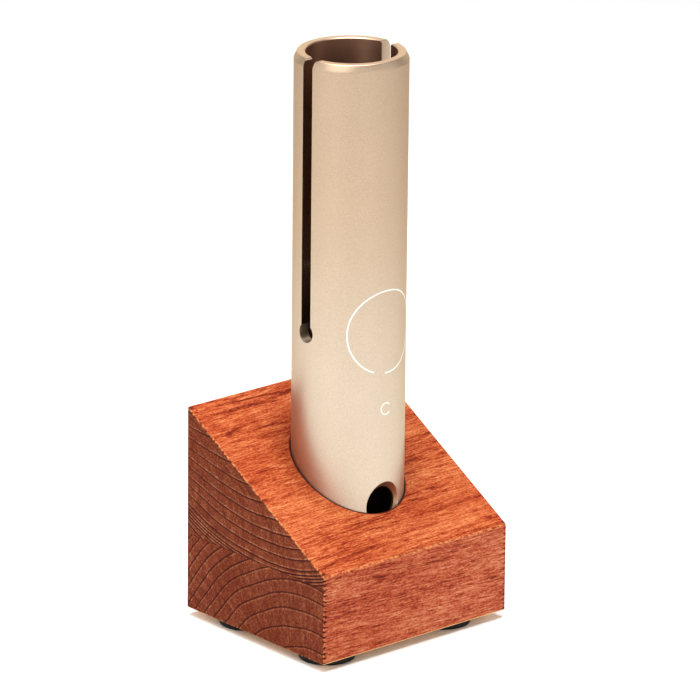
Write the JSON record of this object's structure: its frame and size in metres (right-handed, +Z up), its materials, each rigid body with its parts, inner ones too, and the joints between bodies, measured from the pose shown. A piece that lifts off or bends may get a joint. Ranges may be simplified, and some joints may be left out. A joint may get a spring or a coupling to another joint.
{
  "type": "wah-wah tube",
  "caption": "Slotted aluminium resonator tube with a finger hole, standing upright in the round socket of a sloped hardwood block on rubber feet.",
  "frame": {"origin": "on the table, under the middle of the block, where the tube's upright axis meets the plane of the feet", "axes": "+X along the block's low front face, to the right seen from the front; +Y from the low front face to the high back; +Z up along the tube"},
  "size_m": [0.085, 0.074, 0.2083],
  "materials": {
    "tube": "bead-blasted, anodised pale champagne, satin",
    "block": "hardwood stained red-brown, satin",
    "pad": "dark felt",
    "foot": "matt black rubber"
  },
  "bodies": {
    "stand": {"base_block": "block", "foot_front_left": "foot", "foot_front_right": "foot", "foot_back_left": "foot", "foot_back_right": "foot"},
    "pad": {"socket_pad": "pad"},
    "tube": {"resonator_tube": "tube"}
  },
  "joints": [
    {"name": "tube_turn", "type": "hinge", "parent": "stand", "child": "pad", "pos_m": [0, 0, 0.0132], "axis": [0, 0, 1], "continuous": true},
    {"name": "tube_lift", "type": "slide", "parent": "pad", "child": "tube", "axis": [0, 0, 1], "range_m": [0, 0.07]}
  ]
}
